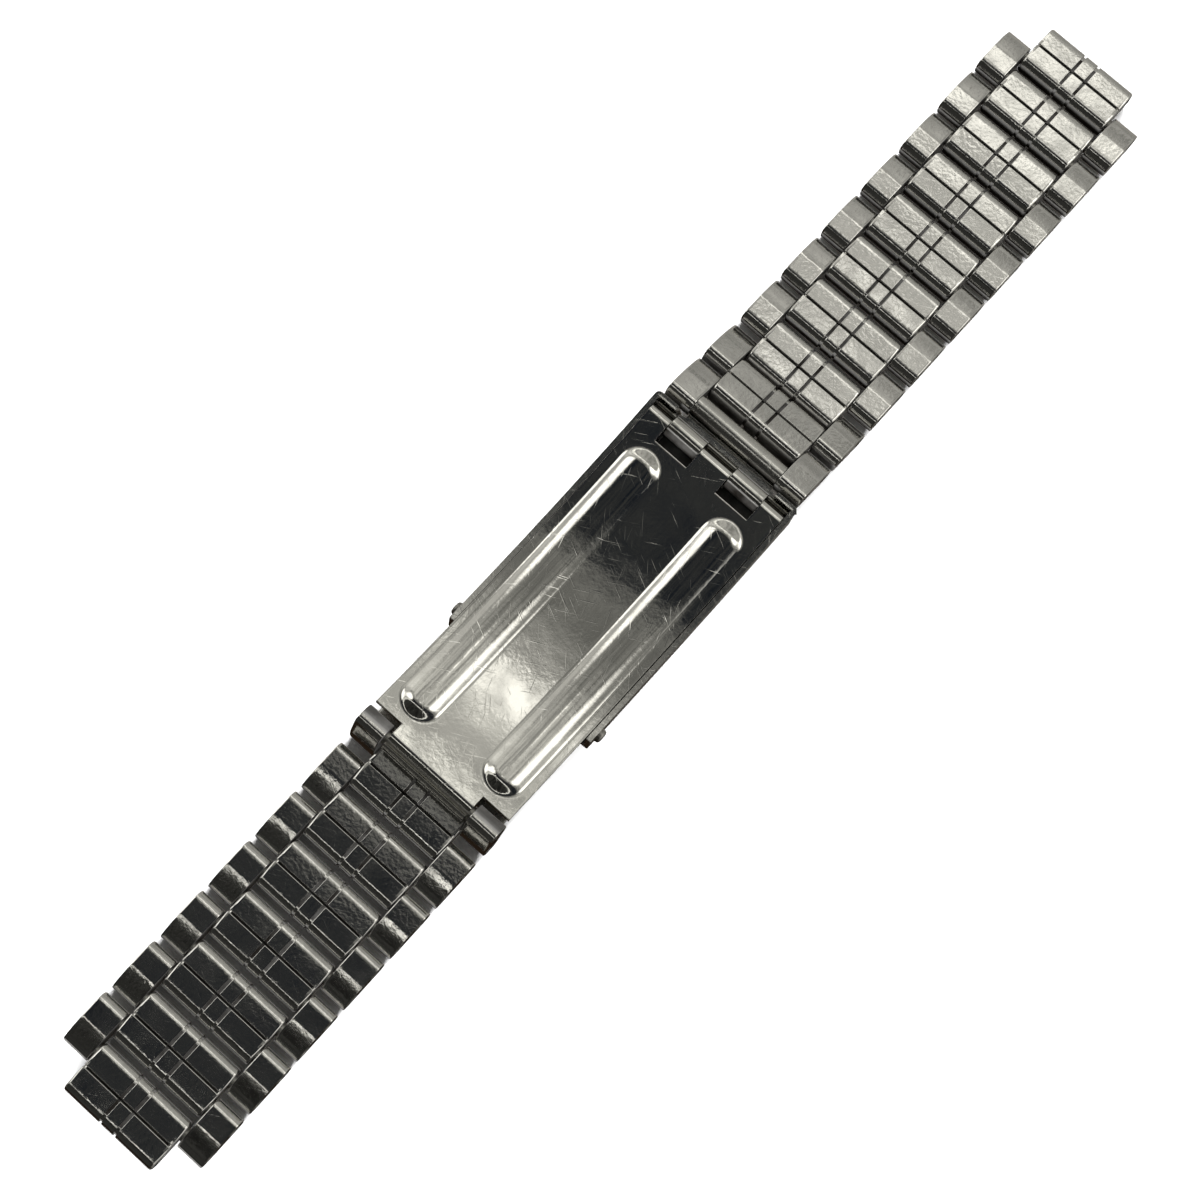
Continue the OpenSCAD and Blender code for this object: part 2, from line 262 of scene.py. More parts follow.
def steel(name, tint, shine, wave, scratch, peel):
    """Worn steel: its colour, base roughness, and how strong waves, scratches and pits are."""
    material = bpy.data.materials.new(name)
    material.use_nodes = True
    tree = material.node_tree
    shader = tree.nodes["Principled BSDF"]
    place = tree.nodes.new("ShaderNodeTexCoord").outputs["Object"]
    shade_and_grime = tree.nodes.new("ShaderNodeAttribute")
    shade_and_grime.attribute_name = "shade_and_grime"
    smudge = noise(tree, place, SMUDGES, 5)
    hairs = [noise(tree, place, HAIRS, 1, HAIR_STRETCH, turn) for turn in HAIR_TURNS]
    hair = hairs[0]
    for other in hairs[1:]:
        hair = math_node(tree, "MAXIMUM", hair, other)
    scratches = ranged(tree, hair, 0.7, 0.8, 0, 1)
    spots = noise(tree, place, SPOTS, 2)
    # Painted shade and grime: where the attribute is high, the base colour goes to near black,
    # and the steel gets less metallic and rougher.
    shade_and_dirt = math_node(
        tree, "MULTIPLY", ranged(tree, shade_and_grime.outputs["Fac"], 0, 1, 0, 1),
        ranged(tree, smudge, 0.3, 0.62, 0.92, 1.0),
    )
    dull = tuple(c * 0.86 for c in tint[:3]) + (1,)
    clean = mix_colour(tree, ranged(tree, smudge, 0.4, 0.7, 0, 1), tint, dull)
    tree.links.new(mix_colour(tree, shade_and_dirt, clean, SHADE_AND_DIRT_COLOUR), shader.inputs["Base Color"])
    tree.links.new(ranged(tree, shade_and_dirt, 0.3, 0.9, 1, 0.25), shader.inputs["Metallic"])
    rough = ranged(tree, smudge, 0.35, 0.75, shine, shine + 0.1)
    tree.links.new(
        math_node(tree, "ADD", rough, math_node(tree, "MULTIPLY", shade_and_dirt, 0.45)),
        shader.inputs["Roughness"],
    )
    waves = tree.nodes.new("ShaderNodeBump")
    waves.inputs["Strength"].default_value = wave
    waves.inputs["Distance"].default_value = 0.4 * MM
    tree.links.new(noise(tree, place, WAVES, 2), waves.inputs["Height"])
    scores = tree.nodes.new("ShaderNodeBump")
    scores.inputs["Strength"].default_value = 1
    scores.inputs["Distance"].default_value = 0.02 * MM
    scores.invert = True
    height = math_node(
        tree, "ADD", math_node(tree, "MULTIPLY", scratches, scratch),
        math_node(tree, "MULTIPLY", spots, peel),
    )
    tree.links.new(height, scores.inputs["Height"])
    tree.links.new(waves.outputs["Normal"], scores.inputs["Normal"])
    tree.links.new(scores.outputs["Normal"], shader.inputs["Normal"])
    return material


LINK_STEEL = steel("polished_link_steel", (0.66, 0.65, 0.625, 1), 0.08, 0.12, 0.1, 0.8)
BLADE_STEEL = steel("polished_blade_steel", (0.70, 0.69, 0.655, 1), 0.05, 0.12, 0.22, 0.25)
COVER_STEEL = steel("satin_cover_steel", (0.66, 0.65, 0.62, 1), 0.15, 0.08, 0.3, 0.4)
PIN_STEEL = steel("drawn_pin_steel", (0.46, 0.45, 0.42, 1), 0.22, 0.05, 0.3, 0.4)
print("materials:", [m.name for m in bpy.data.materials])


# %% [markdown]
# ## Dressing a piece
#
# A finished mesh gets its painted shade and grime, point by point from a rule about
# places, then its steel, and then its seat: the body that it rides on and the CAD nodes
# it stands for. The painted shade and grime has to come before a plate is bent, because
# the rules speak of the flat plate.


# %% Dress a finished mesh
def paint_shade_and_grime(obj, rule):
    """Stores the painted shade and grime of each point of a piece, from 0 to 1, by its place."""
    layer = obj.data.attributes.new("shade_and_grime", "FLOAT", "POINT")
    for vertex, value in zip(obj.data.vertices, layer.data):
        value.value = max(0.0, min(1.0, rule(vertex.co, vertex.normal)))
    return obj


def fit(obj, body, slot, material, *nodes):
    """Gives a piece its steel and seats it on its body in place of its CAD nodes."""
    obj.data.materials.clear()
    obj.data.materials.append(material)
    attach(obj, body)
    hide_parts(*nodes)
    return obj


def copied(model, name, matrix):
    """A copy of a model with its own mesh, put in place by moving the mesh."""
    obj = bpy.data.objects.new(name, model.data.copy())
    obj.data.name = name
    obj.data.transform(matrix)
    bpy.context.scene.collection.objects.link(obj)
    return obj


# %% [markdown]
# ## The side view of a link
#
# Every link is a flat bar with rounded ends. The real ones aren't true half rounds:
# the top runs nearly flat for two millimetres each way, breaks at a soft crease, and
# then rolls down. That crease catches a bright line on every link, so it is modelled.
# A disc is trimmed flat above and below and made a little fuller, its two halves are
# pulled apart, and the four corners where flat meets round are bevelled. A centre
# link's profile also has its seam, a slot cut into the top.

# %% Link profile
NEAR = 0.02 * MM
DISC_POINTS, WIRE_POINTS = 64, 40
END_R = 1.36 * MM
CREASE, CROWN = 0.12 * MM, 0.035 * MM
ROLL_POWER = 0.62
SEAM_DEPTH, SEAM_ROUND = 0.42 * MM, 0.1 * MM
END_X = PIN_GAP / 2 + LINK_T / 2 - END_R
CREASE_X = END_X + math.sqrt(END_R**2 - LINK_T**2 / 4)
GAP_X = 2.2 * MM  # beyond it, a link's end faces the gap to the next one


def link_profile(name, seam):
    """Side view of a link as one flat face, with or without the seam."""
    bpy.ops.object.select_all(action="DESELECT")
    bpy.ops.mesh.primitive_circle_add(
        vertices=DISC_POINTS, radius=END_R, fill_type="NGON", rotation=(math.pi / 2, 0, 0)
    )
    obj = named(name)
    cut_across(obj, "z", LINK_T / 2, "above")
    cut_across(obj, "z", -LINK_T / 2, "below")
    for v in obj.data.vertices:
        fuller = LINK_T / 2 * (abs(v.co.z) / (LINK_T / 2)) ** ROLL_POWER
        v.co.z = math.copysign(fuller, v.co.z)
    edit(obj)
    for side in (-1, 1):
        pick(obj, "verts", lambda c, v: c.x * side > 0)
        bpy.ops.transform.translate(value=(side * END_X, 0, 0))
    done(obj)
    if seam:
        for x in (-SEAM_W / 2, SEAM_W / 2):
            cut_across(obj, "x", x)
        cut_across(obj, "z", LINK_T / 2 - SEAM_DEPTH)
        edit(obj, "FACE")
        bottom = LINK_T / 2 - SEAM_DEPTH
        pick(obj, "faces", lambda c, f: abs(c.x) < SEAM_W / 2 and c.z > bottom)
        bpy.ops.mesh.delete(type="FACE")
        bpy.ops.mesh.select_all(action="SELECT")
        bpy.ops.mesh.dissolve_faces()
        done(obj)
    edit(obj)
    top = LINK_T / 2 - 0.001 * MM
    pick(obj, "verts", lambda c, v: abs(c.z) < top and abs(c.z) > top - 0.06 * MM
         and abs(c.x) > CREASE_X)
    bpy.ops.mesh.dissolve_verts()
    pick(obj, "verts", lambda c, v: c.z > top and abs(c.x) > END_X)
    bpy.ops.transform.translate(value=(0, 0, -CROWN))
    pick(obj, "verts", lambda c, v: abs(c.z) > top - 2 * CROWN and abs(c.x) > END_X)
    bpy.ops.mesh.bevel(offset=CREASE, segments=3, affect="VERTICES")
    if seam:
        pick(obj, "verts", lambda c, v: c.z > top and abs(c.x) < SEAM_W)
        bpy.ops.mesh.bevel(offset=SEAM_ROUND, segments=3, affect="VERTICES")
    return done(obj)


def pulled(obj, width):
    """Pulls a profile out to a bar of that width, centred on the bracelet's middle."""
    edit(obj, "FACE")
    bpy.ops.mesh.select_all(action="SELECT")
    bpy.ops.transform.translate(value=(0, -width / 2, 0))
    bpy.ops.mesh.extrude_region_move(TRANSFORM_OT_translate={"value": (0, width, 0)})
    done(obj)
    return outward(obj)


def drilled(obj, radius, width):
    """Drills the two pin bores through a link."""
    for x in (-PIN_GAP / 2, PIN_GAP / 2):
        bpy.ops.object.select_all(action="DESELECT")
        bpy.ops.mesh.primitive_cylinder_add(
            vertices=WIRE_POINTS, radius=radius, depth=2 * width, location=(x, 0, 0),
            rotation=(math.pi / 2, 0, 0),
        )
        drill = named("drill")
        alone(obj)
        bore = obj.modifiers.new("Bore", "BOOLEAN")
        bore.object, bore.operation, bore.solver = drill, "DIFFERENCE", "EXACT"
        bpy.ops.object.modifier_apply(modifier=bore.name)
        bpy.data.objects.remove(drill)
    return obj


def on_skin(c):
    """Whether a point lies on a link's outside, and not in one of its bores."""
    return math.hypot(abs(c.x) - PIN_GAP / 2, c.z) > BORE_R + NEAR


print("flat top of a link, mm:", round(CREASE_X * 2 / MM, 2))

# %% [markdown]
# ## Centre link
#
# A centre link is one folded sheet. Its two edges meet in a seam on the wrist side,
# and two pressed grooves run round it, with a narrow band between them. The seam is
# already in the profile. The grooves are strips of the bar's skin that are pushed
# inwards, and the corners are bevelled wide at the sides and fine at the grooves. A few
# more cuts beside the edges hold the painted shade and grime, and the shading, where
# they belong.


# %% Centre link model
RIM = 0.12 * MM
RIM_X = CREASE_X - 0.2 * MM
SIDE_RIM = 0.36 * MM
CORNER_BEVEL, GROOVE_BEVEL = 0.26 * MM, 0.05 * MM
SHARP_BEND = 0.5


def centre_link():
    """The model of all centre links, in the middle of the frame."""
    obj = drilled(pulled(link_profile("centre_link", True), CENTRE_W), BORE_R, CENTRE_W)
    inner, outer = BAND_W / 2, BAND_W / 2 + GROOVE_W
    for y in (-outer, -inner, inner, outer):
        cut_across(obj, "y", y)
    for x in (-RIM_X, RIM_X):
        cut_across(obj, "x", x)
    for y in (inner - RIM, outer + RIM, CENTRE_W / 2 - SIDE_RIM):
        cut_across(obj, "y", y)
        cut_across(obj, "y", -y)
    edit(obj, "FACE")
    pick(obj, "faces", lambda c, f: inner < abs(c.y) < outer and on_skin(c))
    bpy.ops.mesh.extrude_region_move()
    length = PIN_GAP + LINK_T
    bpy.ops.transform.resize(
        value=(1 - 2 * GROOVE_D / length, 1, 1 - 2 * GROOVE_D / LINK_T),
        center_override=(0, 0, 0),
    )
    done(obj)
    edit(obj, "EDGE")
    pick(obj, "edges", lambda c, e: abs(abs(c.y) - CENTRE_W / 2) < NEAR and on_skin(c)
         and e.calc_face_angle(0) > SHARP_BEND
         and (abs(c.x) > SEAM_W or c.z < LINK_T / 2 - SEAM_DEPTH / 2))
    bpy.ops.mesh.bevel(offset=CORNER_BEVEL, segments=3)
    done(obj)
    edit(obj, "EDGE")
    pick(obj, "edges", lambda c, e: min(abs(abs(c.y) - inner), abs(abs(c.y) - outer)) < NEAR
         and on_skin(c) and e.calc_face_angle(0) > SHARP_BEND
         and (c.z < 0 or abs(c.x) > SEAM_W / 2 + SEAM_ROUND + NEAR))
    bpy.ops.mesh.bevel(offset=GROOVE_BEVEL, segments=2, clamp_overlap=True)
    done(obj)
    return finish_mesh(obj, sharp=40)


def link_shade_and_grime(c, n):
    """Painted shade and grime: dark in the seam and the grooves, on the ends that face a gap,
    and on the sides.
    """
    z, x, y = c.z / MM, abs(c.x), abs(c.y)
    side = y - (CENTRE_W / 2 - NEAR)
    groove = min(abs(y - BAND_W / 2), abs(y - BAND_W / 2 - GROOVE_W))
    sunk = BAND_W / 2 < y < BAND_W / 2 + GROOVE_W and n.z < 0.98 and groove > 0.06 * MM
    seam = z > 0 and x < 1.9 * MM and z < LINK_T / MM / 2 - 0.12 and side < -0.28 * MM
    if sunk or seam:
        return 1
    if -1 < z < 0.75 and x > GAP_X:
        return min(1, 1.15 - z)
    return 0.7 if side > 0 else 0


CENTRE = paint_shade_and_grime(centre_link(), link_shade_and_grime)
print("centre link:", len(CENTRE.data.polygons), "faces")

# %% [markdown]
# ## Outer link
#
# An outer link is the same bar without a seam, about three millimetres wide. It holds
# its two pins fast. On the side towards the lug its top falls away from a ridge in
# the middle, so each link shows one flat and one long slope. There is a model for each
# hand, as a mesh that is mirrored after shading would shine wrongly, and each row
# stretches them to its own width, as the bracelet widens towards its ends.

# %% Outer link model
OUTER_W = 3 * MM
OUTER_CUTS = (-2.6, -2.2, -1.8, -1.3, -0.8, -0.4, -0.15, 0, 0.15, 1.75)
SLOPE, SLOPE_CURVE = 0.13, 0.055
OUTER_BEVEL, OUTER_RIM = 0.1 * MM, 0.25 * MM


def outer_link(hand):
    """An outer link, sloping towards -X; hand 1 has its inner side at -Y, -1 at +Y."""
    obj = pulled(link_profile("outer_link", False), OUTER_W)
    drilled(obj, PIN_D / 2 + 0.01 * MM, OUTER_W)
    for x in OUTER_CUTS:
        cut_across(obj, "x", x * MM)
    for v in obj.data.vertices:
        if v.co.x < 0 and v.co.z > 0 and on_skin(v.co):
            x = -v.co.x / MM
            v.co.z -= (SLOPE * x + SLOPE_CURVE * x * x) * MM * v.co.z / (LINK_T / 2)
    edit(obj, "EDGE")
    pick(obj, "edges", lambda c, e: abs(abs(c.y) - OUTER_W / 2) < NEAR and on_skin(c)
         and e.calc_face_angle(0) > SHARP_BEND)
    bpy.ops.mesh.bevel(offset=OUTER_BEVEL, segments=2)
    done(obj)
    for y in (-OUTER_W / 2 + OUTER_RIM, OUTER_W / 2 - OUTER_RIM):
        cut_across(obj, "y", y)
    paint_shade_and_grime(obj, outer_shade_and_grime)
    for v in obj.data.vertices:
        v.co.y *= hand
    return finish_mesh(outward(obj), sharp=40)


def outer_shade_and_grime(c, n):
    """Painted shade and grime: nearly clean on the free side, dark towards the centre link and
    at the ends.
    """
    z = c.z / MM
    if c.y > OUTER_W / 2 - NEAR:
        return 0.1
    if c.y < NEAR - OUTER_W / 2:
        return 0.9
    if -1 < z < 0.35 and abs(c.x) > GAP_X:
        return min(0.95, 0.9 - z)
    return 0


OUTER = {hand: outer_link(hand) for hand in (1, -1)}
print("outer link:", len(OUTER[1].data.polygons), "faces")

# %% [markdown]
# ## Link pins
#
# A pin is a length of drawn wire with its ends broken. A cylinder gets its two rims
# bevelled, and every pair of outer links gets two of them.


# %% Pin model
def wire_pin(name, radius, length):
    """A pin along Y, a little grimy all over."""
    bpy.ops.object.select_all(action="DESELECT")
    bpy.ops.mesh.primitive_cylinder_add(
        vertices=WIRE_POINTS, radius=radius, depth=length, rotation=(math.pi / 2, 0, 0)
    )
    obj = named(name)
    edit(obj, "EDGE")
    pick(obj, "edges", lambda c, e: abs(abs(c.y) - length / 2) < 0.001 * MM)
    bpy.ops.mesh.bevel(offset=0.22 * radius, segments=3)
    done(obj)
    return paint_shade_and_grime(finish_mesh(obj, sharp=50), lambda c, n: 0.25)


PIN_LENGTH = CLASP_W - 2 * PIN_INSET
PIN = wire_pin("link_pin", PIN_D / 2, PIN_LENGTH)
print("link pin:", len(PIN.data.polygons), "faces")

# %% [markdown]
# ## Rows of links
#
# The CAD nodes say where each link lies: a link's box gives its middle, and how much
# longer and taller the box is than the link's thickness gives its tilt. Real links
# never lie quite flat, so each copy is rocked by up to a degree about its middle,
# from a seeded draw. That keeps the reflections from repeating.

# %% Place the links
TILTED = {"short_outer_1": -1, "long_outer_1": 1, "long_outer_2": 1, "long_centre_1": 1}
OUTER_ROCK, CENTRE_ROCK = 0.5, 1.0
rocking = random.Random(11)


def link_place(node, rock):
    """Matrix that stands a link's model where its CAD node is, rocked by up to rock degrees."""
    low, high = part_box(node)
    size = high - low
    tilt = TILTED.get(node, 0) * math.atan2(size.z - LINK_T, size.x - LINK_T)
    tilt += math.radians(rocking.uniform(-rock, rock))
    return Matrix.Translation((low + high) / 2) @ Matrix.Rotation(tilt, 4, "Y")


def joined(parts, name):
    """Joins two meshes into one object of that name."""
    alone(parts[0])
    parts[1].select_set(True)
    bpy.ops.object.join()
    parts[0].name = parts[0].data.name = name
    return parts[0]


def outer_pair(node, place, width):
    """Two outer links of one row, their slopes to the lug, stretched to the row's width."""
    link_w = (width - CENTRE_W) / 2 - SIDE_GAP
    halves = []
    lug = 1 if node.startswith("short") else -1
    round_turn = Matrix.Rotation(math.pi * (lug < 0), 4, "Z")
    for side in (1, -1):
        half = copied(OUTER[lug * side], node + "_half", round_turn)
        for v in half.data.vertices:
            v.co.y += math.copysign((link_w - OUTER_W) / 2, v.co.y) + side * (width - link_w) / 2
        half.data.transform(place)
        halves.append(half)
    return joined(halves, node + "_link")


def pin_pair(node, place, width):
    """The two pins of one row of outer links."""
    pins = []
    for x in (-PIN_GAP / 2, PIN_GAP / 2):
        pin = copied(PIN, node + "_wire", Matrix.Identity(4))
        for v in pin.data.vertices:
            v.co.y += math.copysign((width - CLASP_W) / 2, v.co.y)
        pin.data.transform(place @ Matrix.Translation((x, 0, 0)))
        pins.append(pin)
    return joined(pins, node + "_wires")


for side, count in (("short", SHORT_LINKS), ("long", LONG_LINKS)):
    for i in range(1, count + 1):
        width = CLASP_W + (END_W - CLASP_W) * (i - 1) / (count - 1)
        outer, pins, node = f"{side}_outer_{i}", f"{side}_pins_{i}", f"{side}_centre_{i}"
        place = link_place(outer, OUTER_ROCK)
        fit(outer_pair(outer, place, width), outer, "link_steel", LINK_STEEL, outer)
        fit(pin_pair(pins, place, width), outer, "pin_steel", PIN_STEEL, pins)
        link = copied(CENTRE, node + "_link", link_place(node, CENTRE_ROCK))
        fit(link, node, "link_steel", LINK_STEEL, node)
for model in (CENTRE, *OUTER.values(), PIN):
    bpy.data.objects.remove(model)
print("links placed:", SHORT_LINKS + LONG_LINKS, "rows")

# %% [markdown]
# ## Sheet work for the clasp
#
# The clasp is three plates of sheet steel, all curved to the same wrist radius. It is
# easiest to make them flat, as the press does: cut the outline, curl the ends round
# the pins, give the sheet its thickness, and bend the finished plate last. The bend
# is worked out point by point, since Blender's bend tool needs a window.

# %% Sheet moves
pin_low, pin_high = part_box("blade_pin")
KNUCKLE_Z = STACK_H - KNUCKLE_R
HINGE_X = (pin_low.x + pin_high.x) / 2
SHIFT_X = HINGE_X - (CLASP_R - KNUCKLE_Z) * math.sin(HINGE_REACH / CLASP_R)
TINY = 0.002 * MM
CURL_STEPS = 22


def flat_sheet(name, s0, s1, half_width, z, step):
    """A flat grid of sheet at height z, from s0 to s1 along the clasp."""
    bpy.ops.object.select_all(action="DESELECT")
    bpy.ops.mesh.primitive_grid_add(
        x_subdivisions=max(1, round((s1 - s0) / step)),
        y_subdivisions=max(1, round(2 * half_width / step)),
        size=1, location=((s0 + s1) / 2, 0, z),
    )
    bpy.context.object.scale = (s1 - s0, 2 * half_width, 1)
    return named(name)


def punched(obj, lines_x, lines_y, waste):
    """Cuts the sheet on lines, then removes the faces whose middle is waste."""
    for x in lines_x:
        cut_across(obj, "x", x)
    for y in lines_y:
        cut_across(obj, "y", y)
    edit(obj, "FACE")
    pick(obj, "faces", lambda c, f: waste(c))
    bpy.ops.mesh.delete(type="FACE")
    done(obj)


def curled(obj, s, z, turn):
    """Curls the sheet's edge at s round a pin at height z, by turn degrees about +Y."""
    edit(obj, "EDGE")
    pick(obj, "edges", lambda c, e: e.is_boundary and abs(c.x - s) < TINY
         and abs(e.verts[0].co.x - e.verts[1].co.x) < TINY)
    bpy.ops.mesh.spin(
        steps=CURL_STEPS, angle=math.radians(abs(turn)), center=(s, 0, z),
        axis=(0, math.copysign(1, turn), 0),
    )
    done(obj)


def plated(obj, thickness, rounding, segments):
    """Gives a sheet its thickness, rounds its edges and finishes it."""
    outward(obj)
    return finish_mesh(
        obj,
        ("SOLIDIFY", {"thickness": thickness, "offset": 0}),
        ("BEVEL", {"width": rounding, "segments": segments, "limit_method": "ANGLE",
                   "angle_limit": math.radians(50)}),
        sharp=45,
    )


def bent(obj):
    """Bends a flat plate to the clasp's curve: its x becomes the way along the curve."""
    for v in obj.data.vertices:
        reach = CLASP_R - v.co.z
        angle = v.co.x / CLASP_R
        v.co = (SHIFT_X + reach * math.sin(angle), v.co.y, CLASP_R - reach * math.cos(angle))
    obj.data.update()
    return obj


print("clasp's lowest point is at x =", round(SHIFT_X / MM, 3), "mm")

# %% [markdown]
# ## Inner blade
#
# The long bright plate on the wrist side. Two ribs are pressed up along it to stiffen
# it. Each has an arched section, and at its ends the arch runs into a steeper cone,
# with a soft ridge where the two meet. The rib is a height that is worked out for
# each point of a fine grid, which keeps its blends smooth. The tongue curls round the
# short side's first pin, and three fingers curl round the hinge of the blades.

# %% Rib shape
CONE_RUN = 1.15 * MM
ARCH_BLEND, FOOT_BLEND = 0.12 * MM, 0.16 * MM
RIB_R = ((RIB_W / 2) ** 2 + RIB_H**2) / (2 * RIB_H)


def soft_min(a, b, k):
    """The smaller of two heights, blended where they are within k of each other."""
    blend = max(k - abs(a - b), 0) / k
    return min(a, b) - blend * blend * k / 4


def rib_height(s, y):
    """Height of the nearer rib over the blade's face."""
    y = abs(y) - RIB_Y
    end = RIB_W / 2
    beyond = max(RIB_START + end - s, s - (RIB_END - end), 0)
    reach = math.hypot(beyond, y)
    arch = math.sqrt(max(RIB_R**2 - min(abs(y), RIB_R) ** 2, 0)) - (RIB_R - RIB_H)
    cone = RIB_H * (end - reach) / CONE_RUN
    height = soft_min(arch, cone, ARCH_BLEND)
    return -soft_min(-height, 0, FOOT_BLEND)


print("rib radius, mm:", round(RIB_R / MM, 2))


# %% Inner blade
FINE_GRID, COARSE_GRID = 0.24 * MM, 1.0 * MM


def inner_blade():
    """The flat plate with its tongue, fingers and ribs."""
    mid_z, side_y = STACK_H - BLADE_T / 2, CLASP_W / 2
    obj = flat_sheet(
        "inner_blade_plate", -SHORT_REACH, HINGE_REACH, side_y, mid_z, FINE_GRID
    )
    slot_s, slot_in, slot_out = HINGE_REACH - SLOT_D, FINGER_W / 2, FINGER_W / 2 + SLOT_W
    tab = TAB_W / 2

    def waste(c):
        beside_tongue = c.x < NOTCH_S and abs(c.y) > tab
        return beside_tongue or c.x > slot_s and slot_in < abs(c.y) < slot_out

    lines = (-slot_out, -tab, -slot_in, slot_in, tab, slot_out)
    punched(obj, (NOTCH_S, slot_s), lines, waste)
    curled(obj, -SHORT_REACH, STACK_H - TAB_R, -315)
    curled(obj, HINGE_REACH, KNUCKLE_Z, 315)
    for v in obj.data.vertices:
        if v.co.z > mid_z - 0.01 * MM:
            v.co.z += rib_height(v.co.x, v.co.y)
    return plated(obj, BLADE_T, 0.07 * MM, 2)


def blade_shade_and_grime(c, n):
    """Clean above, darker underneath: painted shade with a little grime."""
    return 0.15 if n.z < 0 else 0


blade = bent(paint_shade_and_grime(inner_blade(), blade_shade_and_grime))
fit(blade, "inner_blade", "blade_steel", BLADE_STEEL, "inner_blade")
print("inner blade:", len(blade.data.polygons), "faces")

# %% [markdown]
# ## Middle blade
#
# A plainer plate, folded under the inner blade. Two broad knuckles rise through the
# inner blade's slots, and at the other end the plate curls round the cover's hinge pin.


# %% Middle blade
def middle_blade():
    """The flat plate with its two knuckles and the curl at its other end."""
    half = FINGER_W / 2 + SLOT_W - KNUCKLE_GAP
    inner = FINGER_W / 2 + KNUCKLE_GAP
    gap_s = HINGE_REACH - KNUCKLE_R - 0.2 * MM
    mid_z = MIDDLE_Z + MIDDLE_T / 2
    obj = flat_sheet(
        "middle_blade_plate", -COVER_HINGE, HINGE_REACH, half, mid_z, COARSE_GRID
    )
    punched(obj, (gap_s,), (-inner, inner), lambda c: c.x > gap_s and abs(c.y) < inner)
    curled(obj, HINGE_REACH, KNUCKLE_Z, -325)
    curled(obj, -COVER_HINGE, MIDDLE_Z + EYE_R, 315)
    return plated(obj, MIDDLE_T, 0.08 * MM, 2)


def middle_shade_and_grime(c, n):
    """Painted shade round the knuckles' roots, where the slots let one look in; a little grime
    elsewhere.
    """
    root = c.x > HINGE_REACH - SLOT_D - 1.5 * MM and c.z > MIDDLE_Z - 0.2 * MM
    crown = c.z > STACK_H - 0.7 * MM and c.x > HINGE_REACH - 0.5 * MM
    return 1 if root and not crown else 0.1


plate = bent(paint_shade_and_grime(middle_blade(), middle_shade_and_grime))
fit(plate, "middle_blade", "blade_steel", BLADE_STEEL, "middle_blade")
print("middle blade:", len(plate.data.polygons), "faces")

# %% [markdown]
# ## Cover
#
# The cover is the shell that shows on the outside of the wrist. Its floor ends in a
# flat lip on the short side. On the long side its walls turn in to two corner tabs,
# and a narrow neck between them rolls up round the long side's first pin. The walls
# and tabs are edges of the floor pulled up, with their folds rounded by a bevel.


# %% Cover
FOLD_BEVEL = 0.32 * MM


def cover_shell():
    """The flat shell with its walls, tabs, lip and rolled end."""
    mid_z, wall_y = FLOOR_T / 2, COVER_W / 2 - WALL_T / 2
    roll_s = HINGE_REACH + ROLL_REACH
    tab_s = TAB_S + CORNER_T / 2
    tab_y, neck_y, lip_y = COVER_W / 2 - CORNER_W, CENTRE_W / 2, LIP_W / 2
    obj = flat_sheet("cover_shell", LIP_START, roll_s, wall_y, mid_z, COARSE_GRID)

    def waste(c):
        beside_lip = c.x < WALL_START and abs(c.y) > lip_y
        return beside_lip or c.x > tab_s and abs(c.y) > neck_y

    lines = (-lip_y, -tab_y, -neck_y, neck_y, tab_y, lip_y)
    punched(obj, (WALL_START, tab_s), lines, waste)
    edit(obj, "EDGE")
    pick(obj, "edges", lambda c, e: e.is_boundary and (
        abs(abs(c.y) - wall_y) < TINY
        or abs(c.x - tab_s) < TINY and tab_y < abs(c.y)))
    bpy.ops.mesh.extrude_region_move(
        TRANSFORM_OT_translate={"value": (0, 0, WALL_TOP - mid_z)})
    bpy.ops.mesh.select_all(action="SELECT")
    bpy.ops.mesh.remove_doubles(threshold=TINY)
    pick(obj, "edges", lambda c, e: len(e.link_faces) == 2 and e.calc_face_angle(0) > 1)
    bpy.ops.mesh.bevel(offset=FOLD_BEVEL, segments=4)
    done(obj)
    curled(obj, roll_s, LINK_T / 2, -320)
    return plated(obj, WALL_T + 0.05 * MM, 0.1 * MM, 3)


def cover_shade_and_grime(c, n):
    """Clean along the tops of the walls; painted shade and grime make the inside of the shell
    darker than the outside.
    """
    if c.z > WALL_TOP - 0.12 * MM and c.x < TAB_S + CORNER_T:
        return 0
    inside = abs(c.y) < COVER_W / 2 - 0.9 * WALL_T and c.z > FLOOR_T / 2 and n.z > -0.3
    return 0.2 if inside and c.z < 2.9 * MM and c.x < TAB_S else 0.05


cover = bent(paint_shade_and_grime(cover_shell(), cover_shade_and_grime))
fit(cover, "cover", "cover_steel", COVER_STEEL, "cover")
print("cover:", len(cover.data.polygons), "faces")

# %% [markdown]
# ## Pins of the clasp
#
# The blades' hinge pin is plain wire. The cover's pin has a small domed head outside
# each side wall, which shows as a nub at the clasp's edges.


# %% Clasp pins
def on_curve(s, z):
    """Matrix that stands a pin at a place of the flat clasp, s along and z up, once bent."""
    angle, reach = s / CLASP_R, CLASP_R - z
    place = (SHIFT_X + reach * math.sin(angle), 0, CLASP_R - reach * math.cos(angle))
    return Matrix.Translation(place) @ Matrix.Rotation(-angle, 4, "Y")


hinge_wire = wire_pin("blade_pin_wire", BLADE_PIN_D / 2, CLASP_W - 2 * PIN_INSET)
hinge_wire.data.transform(on_curve(HINGE_REACH, KNUCKLE_Z))
fit(hinge_wire, "inner_blade", "pin_steel", PIN_STEEL, "blade_pin")


